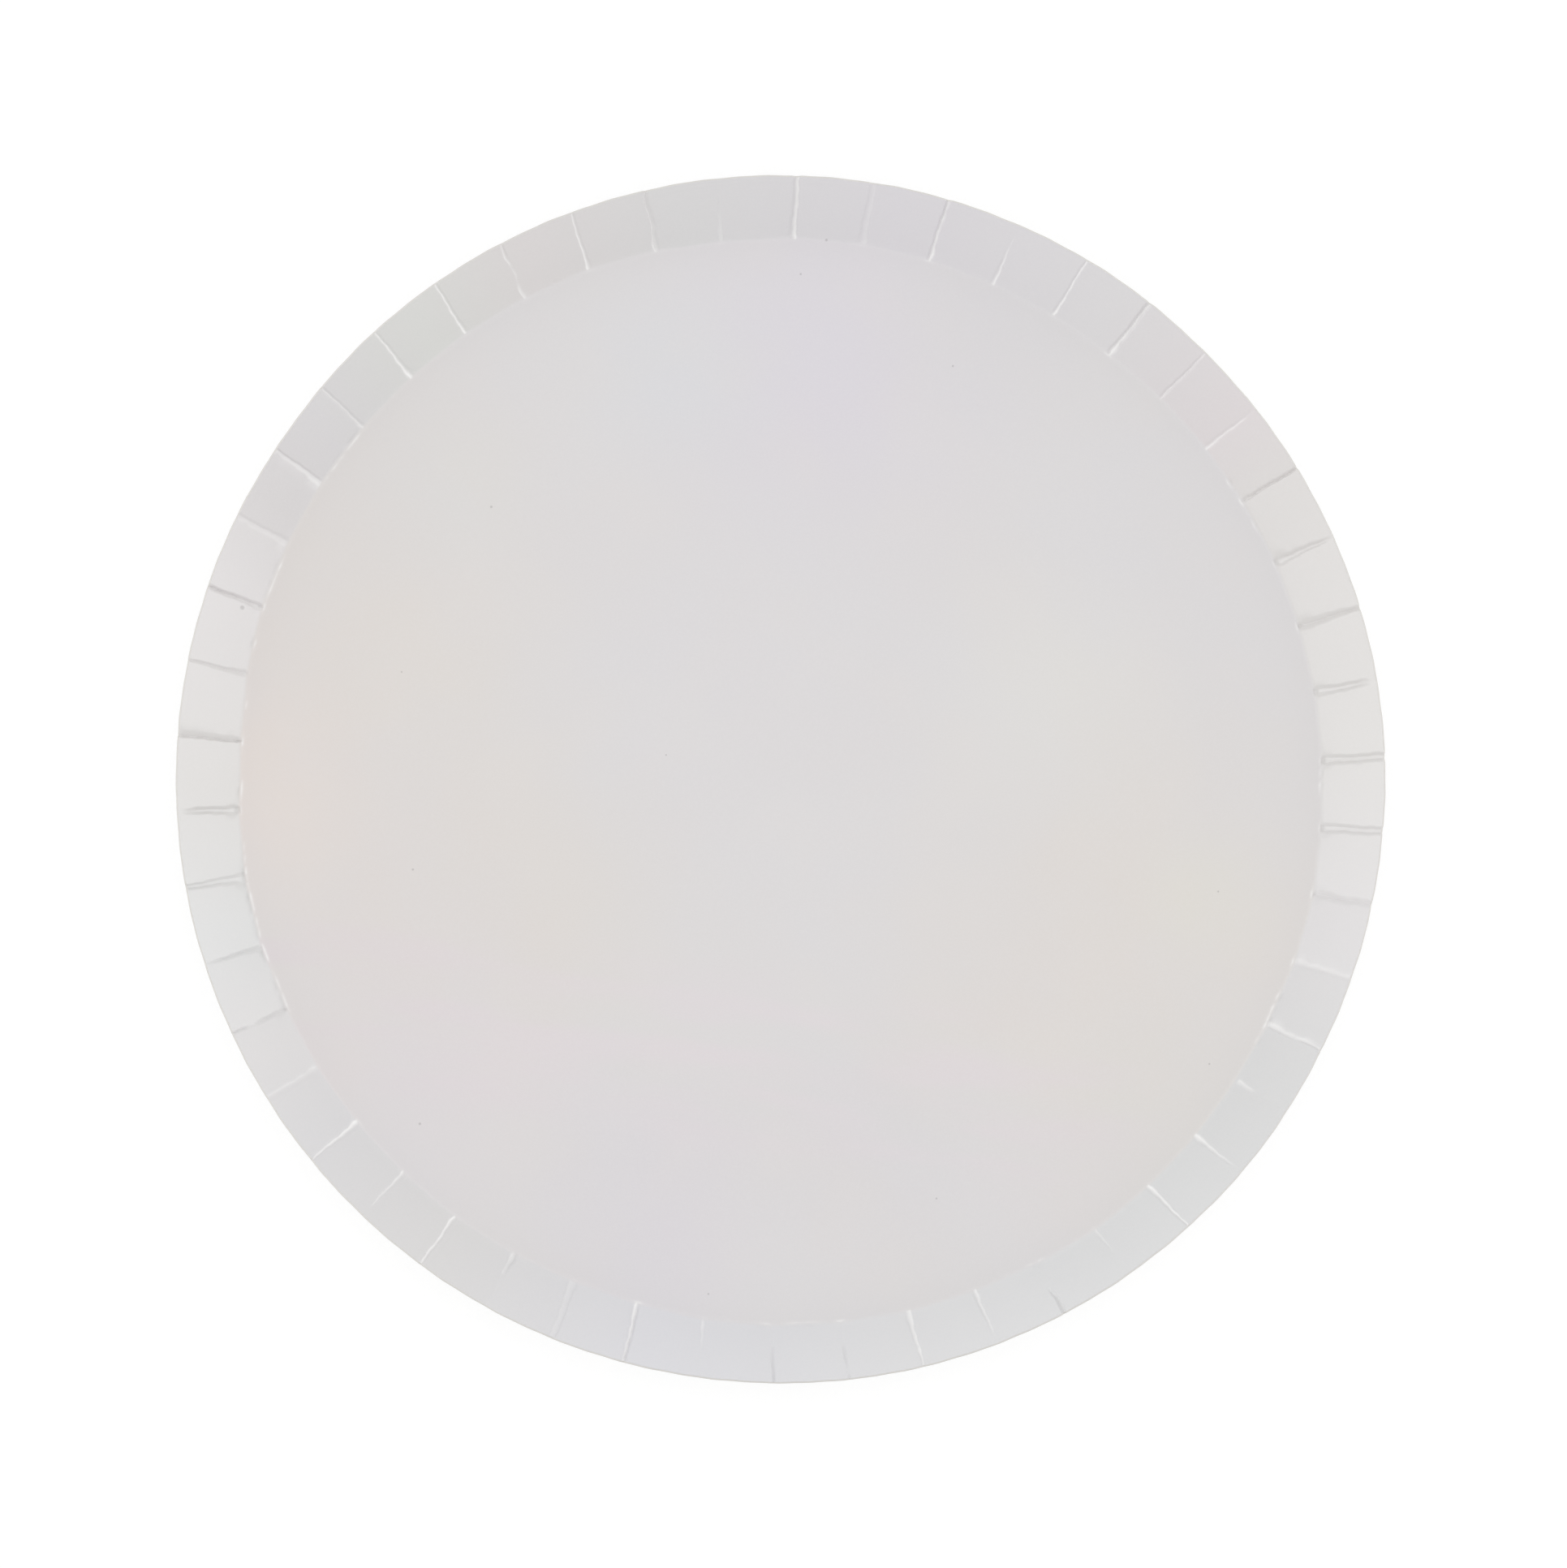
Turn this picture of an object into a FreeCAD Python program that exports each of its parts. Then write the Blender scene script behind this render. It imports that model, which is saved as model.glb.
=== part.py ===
"""A round paper plate, folded from one sheet of board.

The sheet is flat across the base and is folded up along a ring of straight fold lines into a
sloping rim. The rim is a ring of flat facets. Between neighbouring facets the spare board is
tucked down into a narrow V-shaped crease, which shows as a groove from above and as a ridge from
below. The outer edge is the cut edge of the sheet, square to its faces and round in plan. At that
edge the creases are just deep enough to take up all of the sheet's spare length.

The sheet has an upper skin and an under skin, one board thickness apart. Both are worked out from
the same planes, and the cut edge joins them into one solid.
Millimetres, +Z up, with the origin at the centre of the base's underside.
"""

import FreeCAD, Part
import os
from math import cos, degrees, pi, radians, sin, sqrt, tan

from FreeCAD import Vector

# Driving dimensions
plate_diameter = 229.0
rim_width = 10.8
rim_angle = radians(45.0)
board_thickness = 0.45
crease_count = 50
crease_width_at_edge = 1.6
crease_width_at_base = 1.3
crease_start = 0.9

# Half the angle from one crease to the next
half_pitch = pi / crease_count

# The flat base, from fold to fold, is what the rim leaves of the plate's width
base_diameter = plate_diameter - 2 * rim_width
base_radius = base_diameter / 2

# The rim's upper skin, and the round sheet that the plate is folded from. The cut edge is square to
# the sloping board, so the under skin reaches further out than the upper one.
rim_plan_width = rim_width - board_thickness * sin(rim_angle)
rim_slope_length = rim_plan_width / cos(rim_angle)
sheet_radius = base_radius + rim_slope_length

# A crease's two walls take up the length that the sheet's edge has to spare over the rim's edge
spare_length = 2 * half_pitch * (rim_slope_length - rim_plan_width)
crease_wall_width = (crease_width_at_edge + spare_length) / 2
crease_depth_at_edge = sqrt(crease_wall_width**2 - (crease_width_at_edge / 2) ** 2)

# How far up the slope a crease ends, where the round cut edge crosses it
half_facet_width = (base_radius + rim_plan_width) * tan(half_pitch)
crease_end = sqrt(sheet_radius**2 - half_facet_width**2) - base_radius

up = Vector(0, 0, 1)


class Plane:
    """All points whose distance along a unit normal is the same."""

    def __init__(self, normal, point):
        self.normal = Vector(normal).normalize()
        self.level = self.normal.dot(point)

    def lowered(self, offset):
        """The same plane, moved back along its normal."""
        return Plane(self.normal, self.normal * (self.level - offset))


def meeting_point(a, b, c):
    """The one point that three planes share."""
    b_c = b.normal.cross(c.normal)
    c_a = c.normal.cross(a.normal)
    a_b = a.normal.cross(b.normal)
    return (b_c * a.level + c_a * b.level + a_b * c.level) / a.normal.dot(b_c)


def turned(point, pitches):
    """A point turned about the plate's axis by a number of pitches."""
    return FreeCAD.Rotation(up, degrees(2 * half_pitch * pitches)).multVec(point)


def mirrored(point):
    """A point moved to the other side of the crease that lies along +X."""
    return Vector(point.x, -point.y, point.z)


# The upper skin's planes, beside the crease that lies along +X. The rim's corner line runs up the
# middle of that crease, where two facets would meet if no board were tucked between them.
crease_middle = Plane(Vector(0, 1, 0), Vector(0, 0, 0))
base_plane = Plane(up, Vector(0, 0, board_thickness))
fold_corner = Vector(base_radius / cos(half_pitch), 0, board_thickness)
corner_line = Vector(cos(rim_angle) / cos(half_pitch), 0, sin(rim_angle))
facet_normal = Vector(
    -sin(rim_angle) * cos(half_pitch), -sin(rim_angle) * sin(half_pitch), cos(rim_angle)
)
facet_plane = Plane(facet_normal, fold_corner)


def section_at(slope_length):
    """The plane square to the corner line, at a length up the rim's slope."""
    return Plane(corner_line, fold_corner + corner_line * slope_length)


def crease_wall():
    """The plane of one sloping wall of the crease, from its lip on the facet down to its bottom.

    Width and depth shrink together towards one point, so that the wall is flat.
    """
    shrink = (crease_width_at_edge - crease_width_at_base) / crease_end
    apex = fold_corner + corner_line * (crease_end - crease_width_at_edge / shrink)
    beside = Plane(Vector(0, 1, 0), Vector(0, crease_width_at_edge / 2, 0))
    lip = meeting_point(facet_plane, section_at(crease_end), beside)
    down = Vector(corner_line.z, 0, -corner_line.x).normalize()
    bottom = fold_corner + corner_line * crease_end + down * crease_depth_at_edge
    return Plane((bottom - apex).cross(lip - apex), apex)


def crease_cut():
    """The plane of the cut edge across one wall of the crease, square to that wall.

    The crease's bottom is as far from the plate's axis here as its lip, so that the plate's
    outline stays round across the crease.
    """
    wall = crease_wall()
    lip = meeting_point(facet_plane, wall, section_at(crease_end))
    as_far_out = Plane(Vector(1, 0, 0), Vector(sqrt(lip.x**2 + lip.y**2), 0, 0))
    bottom = meeting_point(wall, crease_middle, as_far_out)
    return Plane(wall.normal.cross(bottom - lip), lip)


class Skin:
    """One face of the sheet: its corners beside the crease that lies along +X."""

    def __init__(self, offset):
        base = base_plane.lowered(offset)
        facet = facet_plane.lowered(offset)
        wall = crease_wall().lowered(offset)
        start = section_at(crease_start)
        end = crease_cut()
        self.fold = meeting_point(base, facet, crease_middle)
        self.lip_start = meeting_point(facet, wall, start)
        self.lip_end = meeting_point(facet, wall, end)
        self.bottom_start = meeting_point(wall, crease_middle, start)
        self.bottom_end = meeting_point(wall, crease_middle, end)
        rise = rim_slope_length * sin(rim_angle)
        crest = Vector(base_radius + rim_plan_width, 0, board_thickness + rise)
        self.crest = turned(crest, 0.5) - facet.normal * offset

    def edge_arc(self):
        """The cut edge of one facet, from this crease's lip to the next one's."""
        return Part.Arc(self.lip_end, self.crest, turned(mirrored(self.lip_end), 1)).toShape()

    def faces(self):
        """The base, and for each pitch a facet and the walls and end of a crease."""
        fold_line = [turned(self.fold, pitch) for pitch in range(crease_count)]
        one_pitch = [
            self.facet_face(),
            flat_face(self.lip_start, self.lip_end, self.bottom_end, self.bottom_start),
            flat_face(self.fold, self.lip_start, self.bottom_start),
        ]
        one_pitch += [mirrored_face(face) for face in one_pitch[1:]]
        return [flat_face(*fold_line)] + all_round(one_pitch)

    def facet_face(self):
        """One flat facet of the rim, from its fold line to its cut edge."""
        near_side = Part.makePolygon([self.fold, self.lip_start, self.lip_end])
        far_side = [turned(mirrored(point), 1) for point in (self.lip_end, self.lip_start, self.fold)]
        rest = Part.makePolygon(far_side + [self.fold])
        return Part.Face(Part.Wire(near_side.Edges + [self.edge_arc()] + rest.Edges))


def flat_face(*corners):
    """A flat face with straight sides."""
    return Part.Face(Part.makePolygon(list(corners) + [corners[0]]))


def mirrored_face(face):
    """A face's twin on the other side of the crease that lies along +X."""
    return face.mirror(Vector(0, 0, 0), Vector(0, 1, 0))


def all_round(faces):
    """Copies of the faces of one pitch, all round the plate."""
    copies = []
    for pitch in range(crease_count):
        for face in faces:
            copy = face.copy()
            copy.rotate(Vector(0, 0, 0), up, degrees(2 * half_pitch * pitch))
            copies.append(copy)
    return copies


def cut_edge(upper, under):
    """The raw edge of the sheet: a strip along each facet and a V across each crease."""
    strip = Part.makeRuledSurface(upper.edge_arc(), under.edge_arc())
    wall_end = flat_face(upper.lip_end, upper.bottom_end, under.bottom_end, under.lip_end)
    return all_round([strip, wall_end, mirrored_face(wall_end)])


def plate():
    """The whole plate as one closed solid."""
    upper = Skin(0)
    under = Skin(board_thickness)
    sheet = Part.makeCompound(upper.faces() + under.faces() + cut_edge(upper, under))
    sheet.sewShape()
    solid = Part.Solid(sheet.Shells[0])
    if solid.Volume < 0:
        solid.reverse()
    return solid


os.makedirs("parts", exist_ok=True)
plate().exportStep("parts/plate.step")
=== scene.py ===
"""A round pearly paper plate on a white ground, seen from straight above.

The visible sheet is one grid of points: outward over the upper skin, round the cut edge, and back
under the lower skin. Its finish is a pearl coating above and bare white board below.
"""

from math import cos, pi, radians, sin, tan

import bpy
import numpy as np
from mathutils import Matrix, Vector


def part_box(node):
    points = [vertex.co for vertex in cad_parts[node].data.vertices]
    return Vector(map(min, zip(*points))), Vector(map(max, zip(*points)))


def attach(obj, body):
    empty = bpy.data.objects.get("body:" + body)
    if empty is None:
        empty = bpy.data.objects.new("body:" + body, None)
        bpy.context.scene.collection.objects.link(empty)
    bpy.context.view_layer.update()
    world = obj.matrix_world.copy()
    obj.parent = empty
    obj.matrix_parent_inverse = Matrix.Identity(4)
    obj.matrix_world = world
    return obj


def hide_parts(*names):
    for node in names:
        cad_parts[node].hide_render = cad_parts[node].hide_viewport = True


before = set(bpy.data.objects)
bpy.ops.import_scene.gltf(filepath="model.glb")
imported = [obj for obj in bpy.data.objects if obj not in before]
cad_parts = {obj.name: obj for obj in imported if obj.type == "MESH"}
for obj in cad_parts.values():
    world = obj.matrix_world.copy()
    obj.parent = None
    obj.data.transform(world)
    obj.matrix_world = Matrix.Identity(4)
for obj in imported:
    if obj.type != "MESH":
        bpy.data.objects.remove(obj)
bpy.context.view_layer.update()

mm = 0.001

# The plate's own sizes, from the frame and the sheet it is folded from. The fold and the upper
# skin's edge are given by their distance from the plate's axis.
_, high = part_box("plate")
board = 0.45 * mm
fold_distance = 103.6 * mm
fold_rounding = 0.30 * mm
rim_angle = radians(45.0)
edge_radius = high.y - board * sin(rim_angle)
crease_count = 50
pitch = 2 * pi / crease_count

# The base's low dome and its long waves. Each wave has how fast it runs along x and along y, in
# radians per metre, and where it starts.
dome_rise = 0.30 * mm
wave_rise = 0.05 * mm
base_waves = ((31, 17, 1.0), (-23, 39, 0.0), (52, -11, 2.0))

# The fold line isn't quite round: it is stretched along one direction, and it wanders out or in over
# short stretches, each given by its middle and reach in degrees and its distance
fold_stretch = 0.30 * mm
stretch_side = radians(132.6)
fold_roughness = 0.07 * mm
fold_wanders = (
    (175.0, 10.0, -1.00 * mm),
    (93.0, 6.0, -0.45 * mm),
    (55.0, 16.0, -0.30 * mm),
    (247.0, 9.0, -0.45 * mm),
    (305.0, 11.0, 0.50 * mm),
    (343.0, 6.0, 0.40 * mm),
)

# Nor is the cut edge: these are its wanders, given in the same way, from a mean set in by this much
edge_inset = 0.16 * mm
edge_roughness = 0.05 * mm
edge_wanders = (
    (5.0, 14.0, 0.16 * mm),
    (41.0, 9.0, -0.16 * mm),
    (143.0, 8.0, -0.18 * mm),
    (198.0, 28.0, 0.16 * mm),
    (264.0, 20.0, -0.20 * mm),
    (318.0, 8.0, 0.13 * mm),
)

# How far the rim's edge dips at a crease and how far a facet bows, at most
edge_dip = 0.20 * mm
facet_bow = 0.20 * mm

# How the creases are pressed. Half widths and depths are in millimetres, near at the fold and far at
# the plate's edge. Start and end are where along the rim's slope a crease is, from 0 to 1. Floor is
# the flat share of its width, lean makes one of its walls wider than the other, and cracked is how
# far it is whitened: its coating opened to white, and partly a painted highlight. A depth below 0
# stands up instead.
shape_fields = """
    near_half_width far_half_width near_depth far_depth start end floor lean near_cracked far_cracked
""".split()
crease_shapes = {
    "gutter": (0.98, 0.94, 0.54, 0.54, 0.00, 1.30, 0.34, 0.00, 0.10, 0.00),
    "short": (1.00, 0.74, 0.64, 0.58, 0.00, 0.94, 0.30, 0.00, 0.30, 0.10),
    "fading": (1.05, 0.50, 0.52, 0.26, 0.00, 1.00, 0.30, 0.25, 0.30, 0.00),
    "spread": (1.35, 0.55, 0.66, 0.46, 0.00, 1.30, 0.05, 0.10, 0.00, 0.00),
    "flared": (0.60, 1.25, 0.50, 0.62, 0.00, 1.30, 0.05, -0.60, 0.20, 0.00),
    "forked": (1.15, 0.62, 0.52, 0.50, 0.00, 1.30, 0.34, 0.10, 0.25, 0.00),
    "band": (1.12, 1.00, 0.46, 0.40, 0.00, 1.30, 0.00, 0.05, 0.00, 0.00),
    "groove": (0.82, 0.82, 0.44, 0.44, 0.00, 1.30, 0.36, 0.10, 0.90, 0.90),
    "line": (0.56, 0.46, 0.22, 0.20, 0.02, 1.30, 0.10, 0.00, 0.95, 0.70),
    "wedge": (0.84, 0.40, 0.26, 0.20, 0.00, 1.30, 0.10, 0.00, 0.95, 0.70),
    "taper": (0.95, 0.35, 0.22, 0.06, 0.00, 0.95, 0.15, 0.00, 0.90, 0.10),
    "slit": (0.74, 0.66, 0.40, 0.50, 0.00, 1.30, 0.00, -0.25, 0.95, 0.70),
    "gash": (0.68, 0.62, 0.76, 0.80, 0.00, 1.30, 0.00, 0.25, 0.55, 0.10),
    "slot": (0.50, 0.50, 0.42, 0.48, 0.00, 1.30, 0.00, 0.25, 0.45, 0.10),
    "dark": (0.74, 0.40, 0.36, 0.30, 0.00, 1.30, 0.00, 0.20, 0.00, 0.00),
    "thin": (0.54, 0.46, 0.24, 0.24, 0.00, 1.30, 0.10, 0.00, 0.45, 0.40),
    "soft": (1.12, 0.90, 0.13, 0.09, 0.02, 1.15, 0.25, 0.30, 0.26, 0.14),
    "strip": (1.10, 0.66, 0.20, 0.26, 0.02, 1.30, 0.15, 0.50, 0.55, 0.30),
    "pair": (0.80, 0.72, 0.14, 0.12, 0.02, 1.30, 0.50, 0.00, 0.20, 0.15),
    "inner": (0.66, 0.40, 0.22, 0.09, 0.00, 0.84, 0.10, 0.10, 0.75, 0.20),
    "dimple": (0.95, 0.60, 0.15, 0.01, 0.06, 0.44, 0.25, 0.00, 0.55, 0.00),
    "stub": (0.74, 0.50, 0.30, 0.02, 0.00, 0.52, 0.35, 0.10, 0.45, 0.00),
    "broken": (0.66, 0.50, -0.10, 0.24, 0.00, 1.30, 0.20, 0.00, 0.70, 0.40),
    "outer": (0.30, 0.62, 0.01, 0.50, 0.50, 1.40, 0.10, -0.20, 0.00, 0.60),
    "nick": (0.40, 0.44, 0.03, 0.26, 0.35, 1.40, 0.10, 0.00, 0.00, 0.00),
    "ghost": (0.50, 0.40, 0.06, 0.03, 0.00, 0.60, 0.20, 0.00, 0.40, 0.00),
}

# Which shape each crease has, from the one along +X anticlockwise
crease_row = """
    gutter short spread fading slot inner thin slit line inner
    slit pair groove ghost slit line broken line wedge thin
    strip soft gash dark flared short forked dark dark soft
    wedge inner line stub pair slit ghost nick nick wedge
    inner outer ghost wedge taper dimple strip soft band gutter
""".split()

# Creases whose line wavers on its way up the rim, by how much in millimetres, and in how many waves
wavering = {16: 0.30, 14: 0.12, 22: 0.12, 32: -0.18, 41: 0.20, 46: 0.12, 48: 0.20}
waver_waves = 1.6

# Creases that fade for a stretch: how far along the rim's slope it is, its reach there, and how much
# of the crease it takes away. The place is off the rim for a crease that doesn't fade.
fading_at = {6: 0.95, 9: 0.62, 16: 0.55, 27: 0.92, 28: 0.62, 33: 0.45, 38: 0.80, 39: 0.62, 46: 0.50}
off_the_rim = -1.0
fading_reach = 0.12
fading_share = 0.85

# Creases that stand a little aside of their even places, in degrees
aside_by = {
    0: -0.14, 4: 0.28, 13: 0.34, 27: 0.30, 28: 0.20, 33: 0.20, 40: 0.15,
    46: -0.42, 47: -0.28, 49: -0.10,
}

# The scored pattern sits a little off the sheet's centre and isn't quite round, which turns the
# creases by these amounts
pattern_turn = radians(0.55)
pattern_side = radians(193.0)
oval_turn = radians(-0.20)
oval_side = radians(133.0)

# What no two creases have alike: their lines waver by so many millimetres, and their widths and
# depths differ by these shares
slow_waver = 0.07
quick_waver = 0.045
width_differs = 0.12
width_wavers = 0.10
depth_differs = 0.15

# A crease bulges near the fold by this share of its width, around this place along the slope
bulge_share = 0.30
bulge_place = 0.10
bulge_reach = 0.10

# A crease's ends run out softly: so far before and past its start, and so far before its end
before_start = 0.04
past_start = 0.06
before_end = 0.30

# How round a crease's lip is, how high its bottom stays over the table, and how much wider its
# ridge below the sheet is on either side
lip_roundness = 0.35
least_floor = 0.22 * mm
ridge_widening = 0.25 * mm

# A crease is whitened most on one wall, the one nearer to a line through the plate's axis at this
# azimuth: its coating cracks there, and part of the white is a painted highlight on the wall that the
# light falls on. It is this much at the crease's own line, and so much more at that wall's lip. The
# change from one wall to the other is quicker the higher its number is. The whitening starts at one
# share of the crease's depth and is full at another, and a crease shallower than shallow is
# whitened less.
crack_and_highlight_side = radians(6.0)
crack_and_highlight_at_line = 0.60
crack_and_highlight_at_lip = 1.3
crack_and_highlight_change = 4
crack_and_highlight_start = 0.10
crack_and_highlight_full = 0.70
shallow = 0.05 * mm

# Where the fold shows a fine bead, in degrees from +X, and over how many degrees it runs out
beads = (
    (-4.5, -1.0), (24.5, 27.5), (29.8, 32.0), (137.0, 144.5), (153.0, 159.5), (162.0, 164.5),
    (168.5, 170.5), (177.0, 180.5), (184.0, 203.0), (260.0, 262.5), (264.5, 272.0), (293.0, 297.0),
    (328.0, 335.0),
)
bead_run_out = 1.5

# How strong the bead is on average and how far waves and unevenness change that, how much of it is
# left at the top and bottom of the plate, and how strong the line beyond it is on average
bead_mean = 0.50
bead_waves = 0.30
bead_unevenness = 0.75
bead_left = 0.4
line_mean = 0.6

# The bead is just inside the fold, and a finer line is pressed in just beyond it. The bead is
# whitened: cracked coating, and partly a painted highlight.
bead_place = -0.34 * mm
bead_reach = 0.20 * mm
bead_height = 0.07 * mm
bead_whiteness = 0.85
line_place = 0.32 * mm
line_reach = 0.20 * mm
line_depth = 0.32 * mm

# Creases with a lip pushed up below them at the fold, and how much of one. The lip is whitened as the
# bead is, partly as a painted highlight. The others have least_lip of it.
lips = {
    0: 0.5, 2: 0.9, 3: 0.5, 4: 1.0, 7: 0.7, 10: 0.4, 22: 0.9, 24: 1.0, 25: 0.7, 26: 0.6, 28: 0.5,
    30: 0.4, 35: 0.8, 38: 0.7, 46: 1.0, 47: 0.8, 48: 1.0, 49: 0.6,
}
least_lip = 0.12
lip_reach = 0.80 * mm

# The grid's columns: the near ones stand this far beside a crease, and so many share the rest of a
# facet. The way the sheet faces turns from one facet to the next within turning_reach of the crease.
beside_crease = np.array([0.0, 0.07, 0.14, 0.22, 0.30, 0.39, 0.49, 0.60, 0.72, 0.86, 1.02, 1.22]) * mm
facet_columns = 8
turning_reach = 1.1 * mm

# The grid's rows: shares of the fold's distance over the base, distances from the fold beside it,
# shares of the way from there to the edge, and shares of the board's thickness across the cut edge
base_shares = np.array([0.05, 0.30, 0.55, 0.75, 0.88, 0.95])
fold_steps = np.array([-1.2, -0.8, -0.55, -0.35, -0.2, -0.05, 0.1, 0.25, 0.4, 0.65, 1.0]) * mm
upper_rim_shares = np.concatenate([np.linspace(0, 0.975, 20)[1:], [0.990, 0.997, 1.0]])
under_rim_shares = np.linspace(0, 1, 9)[1:]
cut_shares = np.array([0.05, 0.12, 0.5, 0.88, 0.95])

# Over which distances from the fold the base's tint changes to the rim's
rim_tint_start = -0.3 * mm
rim_tint_full = 0.4 * mm


def crease_values(name):
    """One number of every crease's shape, in order round the plate."""
    field = shape_fields.index(name)
    return np.array([crease_shapes[shape][field] for shape in crease_row])


def listed(values, otherwise):
    """One number for every crease: its own where it is listed, and the other one elsewhere."""
    return np.array([values.get(number, otherwise) for number in range(crease_count)])


def smooth(low_end, high_end, value):
    """Rises from 0 to 1 between two ends, as 3t^2 - 2t^3."""
    t = np.clip((value - low_end) / (high_end - low_end), 0.0, 1.0)
    return t * t * (3.0 - 2.0 * t)


def bell(distance, reach):
    """A bell curve, e^-(d/r)^2: 1 in the middle and almost nothing at twice the reach."""
    return np.exp(-((distance / reach) ** 2))


def jitter(number):
    """A fixed uneven sequence between -1 and 1, as a sum of sines.

    Each use reads it at steps and from a start of its own, so that no two run alike.
    """
    return (np.sin(number * 2.3 + 0.4) + np.sin(number * 5.1 + 1.9)) / 2


def degrees_from(middle, azimuth):
    """How far an azimuth is from a middle one given in degrees, from -180 to 180."""
    return (np.degrees(azimuth) - middle + 180) % 360 - 180


def wandering(azimuth, wanders):
    """How far a line round the plate is off its even course: a bell curve for each wander."""
    return sum(
        distance * bell(degrees_from(middle, azimuth), reach) for middle, reach, distance in wanders
    )


def fold_line(azimuth):
    """The fold's distance from the axis: an oval with a fine unevenness, and its wanders."""
    oval = fold_stretch * np.cos(2 * (azimuth - stretch_side))
    rough = fold_roughness * jitter(azimuth * 9)
    return fold_distance + oval + rough + wandering(azimuth, fold_wanders)


def edge_line(azimuth):
    """The cut edge's distance from the axis, at the upper skin: a circle with a fine roughness."""
    rough = edge_roughness * (jitter(azimuth * 23) - 1)
    return edge_radius - edge_inset + rough + wandering(azimuth, edge_wanders)


def base_height(x, y):
    """The base's gentle rise off the table: a low dome and long waves that die at the fold.

    With s = 1 - (r/f)^2, where f is the fold's distance, it is s (dome s + waves), and 0 past it.
    """
    inside = np.clip(1 - (x * x + y * y) / fold_distance**2, 0, 1)
    waves = sum(np.sin(along_x * x + along_y * y + start) for along_x, along_y, start in base_waves)
    return inside * (dome_rise * inside + wave_rise * (waves + len(base_waves)))


def rim_height(beyond):
    """The rise past the fold: the slope's straight line, rounded into the base by a hyperbola."""
    return tan(rim_angle) * (beyond + np.sqrt(beyond**2 + fold_rounding**2)) / 2


def rim_slope(beyond, steepness):
    """The angle of that rise, from the hyperbola's derivative, steepness times as steep."""
    rise = 1 + beyond / np.sqrt(beyond**2 + fold_rounding**2)
    return np.arctan(tan(rim_angle) * steepness * rise / 2)


def rim_unevenness(columns, along):
    """How far the rim is off its even slope: its edge dips at each crease, and each facet bows.

    A dip grows as a^2 up the slope, and a bow as a 4s (1 - s), with a the way up the slope and s
    the way across the facet, both from 0 to 1.
    """
    dips = edge_dip / 2 * (jitter(np.arange(crease_count + 1) % crease_count * 1.7) - 1)
    dip = dips[columns.facet] * (1 - columns.share) + dips[columns.facet + 1] * columns.share
    bow = facet_bow / 2 * (jitter(np.arange(crease_count) * 2.9 + 3) - 1)[columns.facet]
    bow = bow * 4 * columns.share * (1 - columns.share)
    return along * (dip * along + bow)


class Columns:
    """The grid's columns: azimuths that crowd round each crease and spread over each facet."""

    def __init__(self):
        even = np.arange(crease_count + 1) * pitch
        lines = even + pattern_turn * np.cos(even - pattern_side)
        lines += oval_turn * np.cos(2 * even - oval_side)
        lines[:-1] += np.radians(listed(aside_by, 0.0))
        lines[-1] = lines[0] + 2 * pi
        near = beside_crease / (pitch * (fold_distance + edge_radius) / 2)
        between = np.linspace(near[-1], 1 - near[-1], facet_columns + 2)[1:-1]
        share = np.concatenate([near, between, 1 - near[:0:-1]])
        self.facet = np.repeat(np.arange(crease_count), share.size)
        self.share = np.tile(share, crease_count)
        self.azimuth = lines[self.facet] + self.share * np.diff(lines)[self.facet]
        self.middle = (lines[self.facet] + lines[self.facet + 1]) / 2
        nearest = self.facet + (self.share > 0.5)
        self.crease_azimuth = lines[nearest]
        self.crease = nearest % crease_count
        from_crease = abs(self.azimuth - self.crease_azimuth) * edge_radius
        turning = 1 - smooth(0, turning_reach, from_crease)
        self.facing = self.middle + (self.crease_azimuth - self.middle) * turning


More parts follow.
